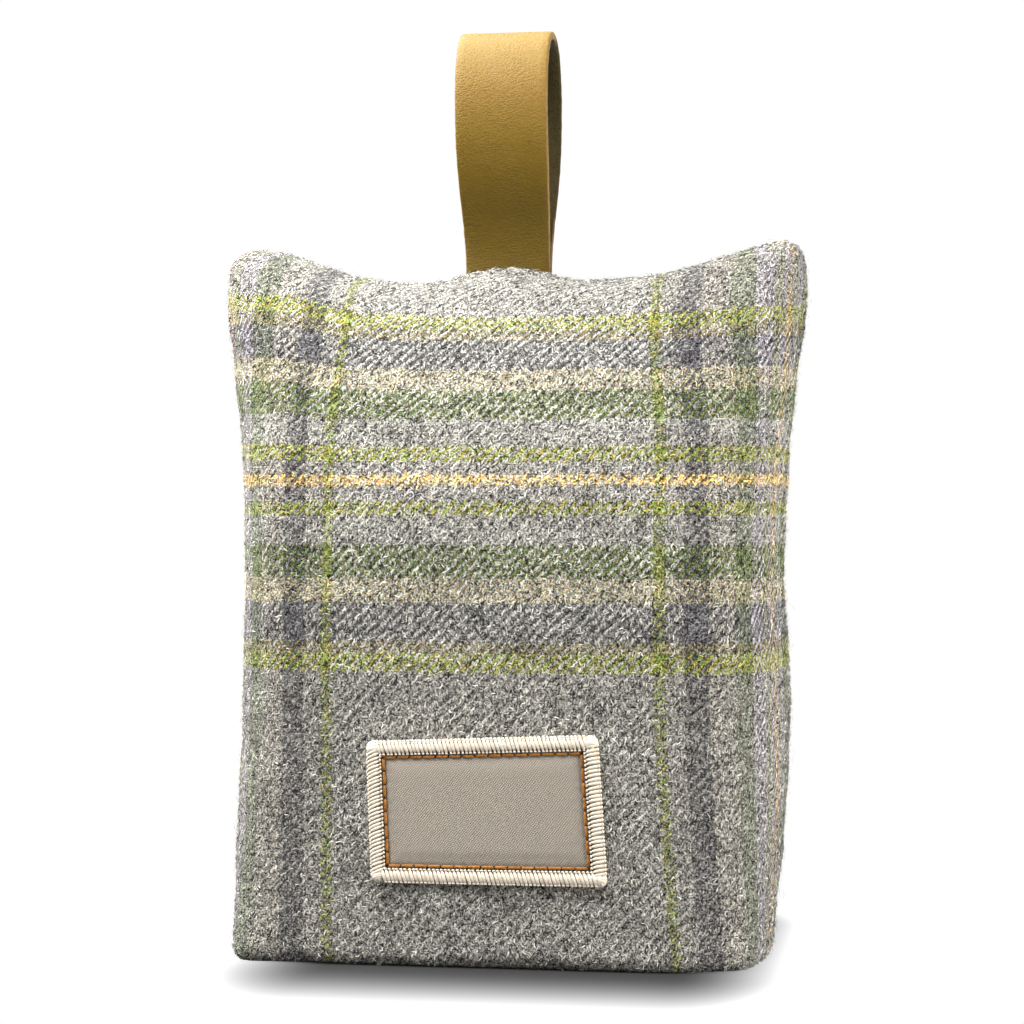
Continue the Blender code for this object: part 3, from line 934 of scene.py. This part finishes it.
def make_strap(surfaces, rng):
    """The leather loop, with a grained face, paler cut edges and a rough inside."""
    front = [np.array([-out, height]) for out, height in LEG_MM]
    line = smooth_line(front + [p * (-1.0, 1.0) for p in reversed(front[:-1])], STRAP_STEPS)
    length = np.concatenate([[0.0], np.cumsum(np.linalg.norm(np.diff(line, axis=0), axis=1))])[:, None]
    along = unit(np.gradient(line, axis=0))
    outward = np.stack([-along[:, 1], along[:, 0]], 1)
    across, past, out, zone = strap_section().T
    share = smoothstep(LEG_MM[1][1], PINCH_TOP, line[:, 1])
    half = (STRAP_FOOT_WIDTH + (STRAP_WIDTH - STRAP_FOOT_WIDTH) * share) / 2.0 - STRAP_EDGE_ROUND
    waver = np.zeros((len(line), 2))
    for _ in range(CUT_WAVES):
        turn = 2.0 * math.pi / rng.uniform(*CUT_LENGTHS)
        waver += np.sin(length * turn + rng.uniform(0.0, 6.3, 2))
    edge = np.abs(across) ** 4 * np.sign(across) * CUT_WAVER
    x = across * half[:, None] + past + edge * np.where(across > 0.0, waver[:, 1:], waver[:, :1])
    points = np.empty((*x.shape, 3))
    points[..., 0] = x + STRAP_CENTRE_X
    points[..., 1:] = line[:, None] + outward[:, None] * out[:, None]
    index = np.arange(x.size).reshape(x.shape)
    low, high = index[:-1], index[1:]
    walls = np.stack([low, np.roll(low, -1, 1), np.roll(high, -1, 1), high], -1)
    after = np.roll(zone, -1)
    zones = np.where(zone == after, zone, zone + after - 1)
    groups = [(walls[:, zones == kind].reshape(-1, 4), kind) for kind in range(3)]
    groups += [(index[:1], 1), (index[-1:, ::-1], 1)]
    strap = mesh_object("leather_loop", points.reshape(-1, 3), groups, surfaces)
    add_uv(strap, "hide", np.stack(np.broadcast_arrays(x, length), -1).reshape(-1, 2))
    bm = bmesh.new()
    bm.from_mesh(strap.data)
    bmesh.ops.recalc_face_normals(bm, faces=bm.faces)
    bm.to_mesh(strap.data)
    bm.free()
    return strap


def leather_material():
    n = Nodes("tan_leather", roughness=0.42, specular=0.28)
    hide = n.uv("hide")
    # Painted light: the colour goes from darker at the foot to lighter at the top, as the light falls from
    # above.
    painted_light_height = n.remap(n.split(n.place())[2], 200 * MM, 245 * MM)
    cloud = n.noise(n.stretch(hide, (5.0, 3.0)), 1.0, detail=3.0, roughness=0.6)
    colour = n.ramp(n.math("ADD", painted_light_height, (cloud - 0.5) * 0.2, clamp=True), HIDE_WITH_PAINTED_LIGHT)
    pores = n.add("ShaderNodeTexVoronoi", {"Vector": n.stretch(hide, (0.75, 0.5)), "Scale": 1.0})
    grain = n.remap(pores, 0.0, 0.7) * 0.6 + n.noise(hide, 3.2, detail=3.0, roughness=0.65) * 0.55
    colour = n.times(colour, n.remap(grain, 0.25, 0.85, 0.88, 1.09))
    spots = n.remap(n.noise(hide, 0.32, roughness=0.4), 0.715, 0.74)
    colour = n.mix(spots * 0.5, colour, srgb(84, 58, 20))
    strength = n.remap(n.noise(n.stretch(hide, (14.0, 22.0)), 1.0, detail=1.0), 0.35, 0.65, 0.45, 1.0)
    return n.finish(colour, n.bump(grain * strength, 0.23 * MM, 0.9), n.remap(grain, 0.2, 0.9, 0.44, 0.60))


def cut_edge_material():
    n = Nodes("leather_cut_edge", roughness=0.85, specular=0.2)
    hide = n.uv("hide")
    fibre = n.noise(n.stretch(hide, (0.25, 0.9)), 1.0, detail=3.0, roughness=0.7)
    tone = n.remap(n.noise(hide, 0.25), 0.35, 0.7)
    # Painted shade: the rear leg's cut edge, which lies in shade, is darkened.
    rear_painted_shade = n.remap(n.split(n.place())[1], 1.0 * MM, 5.0 * MM)
    colour = n.mix(fibre, srgb(80, 56, 26), srgb(178, 144, 94))
    colour = n.mix(tone * 0.5, colour, srgb(92, 64, 28))
    colour = n.mix(rear_painted_shade * 0.9, colour, srgb(50, 40, 18))
    return n.finish(colour, n.bump(fibre, 0.25 * MM))


def suede_material():
    n = Nodes("leather_inside", roughness=0.95, specular=0.1, sheen=0.1)
    hide = n.uv("hide")
    nap = n.noise(n.stretch(hide, (0.35, 0.6), 0.4), 1.0, detail=4.0, roughness=0.75, distortion=0.6)
    colour = n.mix(n.remap(nap, 0.3, 0.7), srgb(34, 28, 10), srgb(88, 76, 42))
    colour = n.mix(n.remap(n.noise(hide, 0.16), 0.4, 0.7, 0.0, 0.35), colour, srgb(46, 38, 18))
    return n.finish(colour, n.bump(nap, 0.3 * MM))


# The label.
def askew(across, up):
    """How far the label's corners are pulled out of square at a place on it."""
    return [a + b * across + c * up + d * across * up for a, b, c, d in LABEL_ASKEW]


def label_to_front(across, up):
    """Label places in millimetres, as x and z on the bag's front."""
    aside, rise = askew(across, up)
    c, s = math.cos(LABEL_TILT), math.sin(LABEL_TILT)
    across, up = across + aside, up + rise
    return LABEL_CENTRE[0] + across * c - up * s, LABEL_CENTRE[1] + across * s + up * c


def front_to_label(x, z):
    """The label place at x and z on the bag's front, near enough."""
    c, s = math.cos(LABEL_TILT), math.sin(LABEL_TILT)
    x, z = x - LABEL_CENTRE[0], z - LABEL_CENTRE[1]
    across, up = x * c + z * s, z * c - x * s
    aside, rise = askew(across, up)
    return across - aside, up - rise


class LabelSeat:
    """A smooth height field of the wool under the label, asked for places on it."""

    def __init__(self, wool):
        self.lines = [np.linspace(-reach, reach, count) for reach, count in SEAT_GRID]
        x, z = label_to_front(*np.meshgrid(*self.lines, indexing="ij"))
        starts = np.stack([x, np.full_like(x, -100.0), z], -1).reshape(-1, 3) * MM
        hits = [wool.ray_cast(Vector(start), Vector((0.0, 1.0, 0.0)))[0] for start in starts]
        self.depth = np.array([hit.y for hit in hits]).reshape(x.shape) / MM

    def place(self, across, up, lift):
        """Points this far out from the wool, at label places."""
        across, up, lift = np.broadcast_arrays(across, up, lift)
        steps = [np.interp(at, line, np.arange(len(line))) for at, line in zip((across, up), self.lines)]
        x, z = label_to_front(across, up)
        return np.stack([x, between(self.depth, *steps) - lift, z], -1)


def make_ground(seat, surface):
    """The label's woven ground, one thin sheet that swells a little between its seams."""
    lines = [np.linspace(-0.5, 0.5, cells + 1) * size for cells, size in zip(GROUND_CELLS, GROUND_SIZE)]
    across, up = np.meshgrid(*lines, indexing="ij")
    inset = np.minimum(GROUND_SIZE[0] / 2.0 - np.abs(across), GROUND_SIZE[1] / 2.0 - np.abs(up))
    swell = 0.45 * smoothstep(0.3, 4.5, inset) - 0.25 * bell(inset - HOLD_INSET, 0.55)
    pucker = 0.10 * (np.sin(across * 2.33 + 1.0) + np.sin(up * 2.33)) * np.exp(-inset / 1.6)
    points = seat.place(across, up, SEAT_GAP + GROUND_LIFT + swell + pucker).reshape(-1, 3)
    ground = mesh_object("label_ground_cloth", points, [(grid_faces(*across.shape), 0)], [surface])
    add_uv(ground, "patch", np.stack([across, up], -1).reshape(-1, 2))
    return ground


def band_lift(offset):
    """How far the border's padded band stands out at a place across it, from -1 to 1."""
    return SEAT_GAP + BORDER_HEIGHT * np.sqrt(np.clip(1.0 - offset**2, 0.0, 1.0)) ** 0.8


def over_edges(offset, away):
    """The way that a thread's top faces along its path: out from the wool, and over the edges."""
    return np.add(OUT, np.outer(np.sign(offset) * np.abs(offset) ** 3 * 1.6, away))


def make_border(seat, surfaces, rng):
    """The overlocked border: a padded band, the threads over it and a row of loops at each edge."""
    parts = Parts()
    half = BORDER_WIDTH / 2.0
    half_w, half_h = LABEL_SIZE[0] / 2.0, LABEL_SIZE[1] / 2.0
    for level, outer, slant, outer_holes, thread in BORDER_SIDES:
        middle = outer * ((half_h if level else half_w) - half)
        end = half_w - BORDER_WIDTH * 0.72 if level else half_h - BORDER_WIDTH * 0.62

        def run(along, offset, lift):
            beside = middle + offset * half
            return seat.place(along, beside, lift) if level else seat.place(beside, along, lift)

        along = np.linspace(-end - 0.6, end + 0.6, BAND_CELLS[0])[:, None]
        offset = np.linspace(-0.97, 0.97, BAND_CELLS[1])
        faces = grid_faces(*BAND_CELLS)[:, (0, 3, 2, 1) if level else (1, 2, 3, 0)]
        # The band's dark material is painted shade, seen in the gaps between the threads.
        parts.add(run(along, offset, band_lift(offset) - 0.18), faces, slot=1)

        count = round(2.0 * end / STITCH_PITCH)
        pitch = 2.0 * end / count
        centres = (-end + (np.arange(count) + 0.5) * pitch + rng.uniform(-0.06, 0.06, count))[:, None]
        offset = np.linspace(-1.0, 1.0, 11)
        lean = (slant + rng.uniform(-0.10, 0.10, count))[:, None]
        lift = band_lift(offset * 0.97) + rng.uniform(-0.05, 0.08, count)[:, None]
        paths = run(centres + offset * lean + 0.16 * (1.0 - offset**2), offset, lift)
        ups = over_edges(offset, (0.0, 0.0, 1.0) if level else (1.0, 0.0, 0.0))
        taper = np.interp(offset * outer, (-1.0, -0.72, -0.35, 0.6, 1.0), (0.42, 0.66, 1.0, 1.0, 0.7))
        parts.thread(paths, ups, thread * pitch, THREAD_HIGH, 7, taper=taper)

        steps = np.linspace(-1.0, 1.0, 7)
        for edge in (-1.0, 1.0):
            reach = edge * (0.93 - 0.05 * np.abs(steps))
            along = centres + edge * lean + steps * pitch * (0.36 if edge == outer else 0.30)
            lift = band_lift(reach * 0.88) + 0.10 + 0.16 * np.sqrt(1.0 - steps**2)
            parts.thread(run(along, reach, lift), OUT, 0.24, 0.22, 6, shrink=0.35)

        # Dark holes between the loops, in the painted shade material.
        steps = np.linspace(-1.0, 1.0, 5)
        for reach, size in [(-outer * 0.76, 0.17)] + [(outer * 0.55, 0.15)] * outer_holes:
            along = centres[:-1] + pitch / 2.0 + reach * lean[:-1]
            lift = band_lift(reach) + THREAD_HIGH - 0.10 + 0.05 * (1.0 - steps**2)
            paths = run(along, reach + steps * size / half, lift)
            parts.thread(paths, OUT, size * 0.8, 0.10, 6, shrink=0.5, slot=2)

    steps = np.linspace(-0.85, 0.97, 11)
    taper = np.interp(steps, (-0.85, -0.4, 0.3, 0.97), (0.5, 0.8, 1.0, 0.75))
    for side, top, k in itertools.product((-1.0, 1.0), (-1.0, 1.0), range(CORNER_THREADS)):
        angle = math.radians(45.0 + 72.0 * (k - 4) / 4.0 + rng.uniform(-3.0, 3.0))
        x, z = side * math.cos(angle), top * math.sin(angle)
        across, up = side * (half_w - half) + x * steps * half, top * (half_h - half) + z * steps * half
        path = seat.place(across, up, band_lift(steps * 0.97) + 0.03 + 0.07 * (k % 2))[None]
        parts.thread(path, over_edges(steps, (x, 0.0, z)), 0.40, THREAD_HIGH, 7, taper=taper)
    return parts.make("label_border_thread", surfaces)


def make_holding_stitches(seat, surfaces, rng):
    """The running stitches that sew the label on, along the inside of its border."""
    parts = Parts()
    lifted = SEAT_GAP + GROUND_LIFT
    corners = (np.array(GROUND_SIZE) / 2.0 - HOLD_INSET) * ((-1, -1), (1, -1), (1, 1), (-1, 1))
    for start, end in zip(corners, np.roll(corners, -1, axis=0)):
        length = np.linalg.norm(end - start)
        way = (end - start) / length
        count = round(length / HOLD_PITCH)
        pitch = length / count
        steps = np.linspace(-1.0, 1.0, 9)
        for k in range(count):
            reach = HOLD_LENGTH / 2.0 * rng.uniform(0.97, 1.06)
            sway = np.array([-way[1], way[0]]) * rng.uniform(-0.10, 0.10)
            flat = start + way * (k + 0.5) * pitch + way * (steps * reach)[:, None]
            flat = flat + sway * (1.0 - np.abs(steps))[:, None]
            path = seat.place(*flat.T, lifted - 0.12 + 0.42 * np.sqrt(1.0 - steps**4))
            parts.thread(path[None], OUT, 0.38, 0.22, 8, shrink=0.5)
        # Dark spots where the thread goes in, in the painted shade material.
        steps = np.linspace(-1.0, 1.0, 5)
        for k in range(count + 1):
            flat = start + way * k * pitch + way * (steps * 0.30)[:, None]
            path = seat.place(*flat.T, lifted - 0.14 + 0.06 * (1.0 - steps**2))
            parts.thread(path[None], OUT, 0.27, 0.10, 8, shrink=0.5, slot=1)
    return parts.make("label_stitches", surfaces)


def spun_fibres(n, scale, detail):
    """The fine fibres of a thread."""
    return n.noise(n.add("ShaderNodeMapping", {"Vector": n.place(), "Scale": scale}), 1.0, detail=detail)


def border_material(name, light, dark):
    n = Nodes(name, roughness=0.7, sheen=0.15, specular=0.3)
    spun = spun_fibres(n, (2600.0, 900.0, 2600.0), 3.0)
    colour = n.mix(n.remap(spun, 0.3, 0.7), dark, light)
    cloud = n.remap(n.noise(n.place(), 160.0), 0.45, 0.75, 0.0, 0.3)
    return n.finish(n.mix(cloud, colour, srgb(228, 212, 186)), n.bump(spun, 0.10 * MM, 0.8))


def ground_material():
    """Fine steep twill with a soft mottling."""
    n = Nodes("label_twill", roughness=0.8, sheen=0.1, specular=0.25)
    patch = n.uv("patch")
    across, up, _ = n.split(patch)
    rib = n.hump(n.math("FRACT", across * 1.5 - up * 1.3 + n.noise(patch, 0.8) * 0.9))
    cell = n.hump(n.math("FRACT", up * 1.9 + across * 0.6))
    weave = rib * (cell * 0.4 + 0.6)
    slub = n.remap(n.noise(n.stretch(patch, (0.35, 1.6)), 1.0), 0.35, 0.7, 0.0, 0.35)
    cloud = n.remap(n.noise(patch, 0.11, detail=3.0), 0.4, 0.75, 0.0, 0.3)
    colour = n.mix(n.remap(weave, 0.0, 1.0), srgb(105, 96, 84), srgb(190, 180, 166))
    colour = n.mix(cloud, n.mix(slub, colour, srgb(140, 130, 116)), srgb(150, 142, 132))
    return n.finish(colour, n.bump(weave, 0.10 * MM, 0.9))


def holding_thread_material():
    n = Nodes("holding_thread", roughness=0.55, specular=0.4, sheen=0.1)
    spun = spun_fibres(n, (1800.0, 1800.0, 1800.0), 2.0)
    colour = n.mix(n.remap(spun, 0.3, 0.7), srgb(120, 70, 10), srgb(184, 120, 34))
    return n.finish(colour, n.bump(spun, 0.08 * MM, 0.7))


# Painted shade: near-black stand-ins for the shade inside needle holes and between the loops.
def hole_shade_material():
    n = Nodes("needle_hole_painted_shade", roughness=0.95, specular=0.1)
    return n.finish(n.mix(n.noise(n.place(), 1500.0, detail=1.0), srgb(34, 24, 14), srgb(58, 42, 26)))


# The camera, the floor and the lights.
def add_camera():
    camera = new_object("camera", bpy.data.cameras.new("camera"))
    across = Vector((math.cos(PHOTO_AZIMUTH), math.sin(PHOTO_AZIMUTH), 0.0))
    back = Vector((math.sin(PHOTO_AZIMUTH), -math.cos(PHOTO_AZIMUTH), 0.0))
    camera.location = back * CAMERA_DISTANCE + across * CAMERA_ASIDE + Vector((0.0, 0.0, CAMERA_HEIGHT))
    camera.rotation_euler = (math.pi / 2, 0.0, PHOTO_AZIMUTH)
    camera.data.lens = LENS_MM
    camera.data.clip_start = 0.01
    bpy.context.scene.camera = camera


def floor_material():
    """White, with a painted shadow near the bag: there the camera sees a near-black grey under the real
    light, which fades into the white behind it.
    """
    n = Nodes("pale_floor", roughness=1.0)
    n.tree.nodes.remove(n.shader)
    moved = n.vector("SUBTRACT", n.place(), (*SHADOW_MIDDLE, 0.0))
    past = n.vector("SUBTRACT", n.vector("ABSOLUTE", moved), (*SHADOW_SIZE, 0.0))
    faded = n.vector("DIVIDE", n.vector("MAXIMUM", past), (*SHADOW_FADE, 1.0))
    far = n.math("POWER", n.vector("LENGTH", faded, output=1), 2.0, clamp=True)
    seen, bounce = (n.add("ShaderNodeBsdfDiffuse", {0: (grey,) * 3}) for grey in (FLOOR_PAINTED_SHADOW, FLOOR_BOUNCE))
    fade = n.add("ShaderNodeMixShader", {0: far, 1: seen, 2: n.add("ShaderNodeEmission")})
    seen_by_camera = n.add("ShaderNodeLightPath")
    choice = n.add("ShaderNodeMixShader", {0: seen_by_camera, 1: bounce, 2: fade})
    n.feed(n.tree.nodes["Material Output"].inputs[0], choice)
    return n.material


def add_studio():
    bpy.ops.mesh.primitive_plane_add(size=FLOOR_SIZE)
    floor = bpy.context.object
    floor.name = "floor"
    floor.data.materials.append(floor_material())
    floor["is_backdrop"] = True
    world = bpy.data.worlds.new("studio")
    world.use_nodes = True
    bpy.context.scene.world = world
    tree = world.node_tree
    path = tree.nodes.new("ShaderNodeLightPath")
    level = tree.nodes.new("ShaderNodeMapRange")
    level.inputs["To Min"].default_value = WORLD_LIGHT
    tree.links.new(path.outputs["Is Camera Ray"], level.inputs["Value"])
    background = tree.nodes["Background"]
    background.inputs[0].default_value = (1.0, 1.0, 1.0, 1.0)
    tree.links.new(level.outputs[0], background.inputs[1])
    for name, place, target, size, power in SOFTBOXES:
        lamp = bpy.data.lights.new(name, "AREA")
        lamp.shape = "RECTANGLE"
        lamp.size, lamp.size_y = size
        lamp.energy = power
        made = new_object(name, lamp)
        made.visible_camera = False
        made.location = place
        made.rotation_euler = (Vector(target) - Vector(place)).to_track_quat("-Z", "Y").to_euler()
    bpy.context.scene.view_settings.view_transform = "Standard"


def main():
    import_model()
    cad_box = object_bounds()
    add_camera()
    add_studio()
    rng = np.random.default_rng(SEED)
    wool = wool_material()
    bag = make_bag(wool, rng)
    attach(bag, "root")
    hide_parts("body")
    make_nap(bag, rng)
    strap = make_strap([leather_material(), cut_edge_material(), suede_material()], rng)
    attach(strap, "root")
    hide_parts("handle_strap")
    depsgraph = bpy.context.evaluated_depsgraph_get()
    seat = LabelSeat(BVHTree.FromObject(bag, depsgraph))
    ground = make_ground(seat, ground_material())
    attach(ground, "root")
    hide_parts("label_ground")
    [side * MM for side in GROUND_SIZE]
    cream = border_material("border_thread", srgb(244, 235, 220), srgb(214, 198, 174))
    # Painted shade: the band under the threads is dark, to give the shade in the gaps between them.
    under = border_material("border_band_painted_shade", srgb(126, 108, 82), srgb(90, 74, 52))
    hole_shade = hole_shade_material()
    border = make_border(seat, [cream, under, hole_shade], rng)
    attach(border, "root")
    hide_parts("label_border")
    stitches = make_holding_stitches(seat, [holding_thread_material(), hole_shade], rng)
    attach(stitches, "root")
    boxes = {"cad": cad_box, "visual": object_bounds()}
    {name: [list(corner) for corner in box] for name, box in boxes.items()}


main()
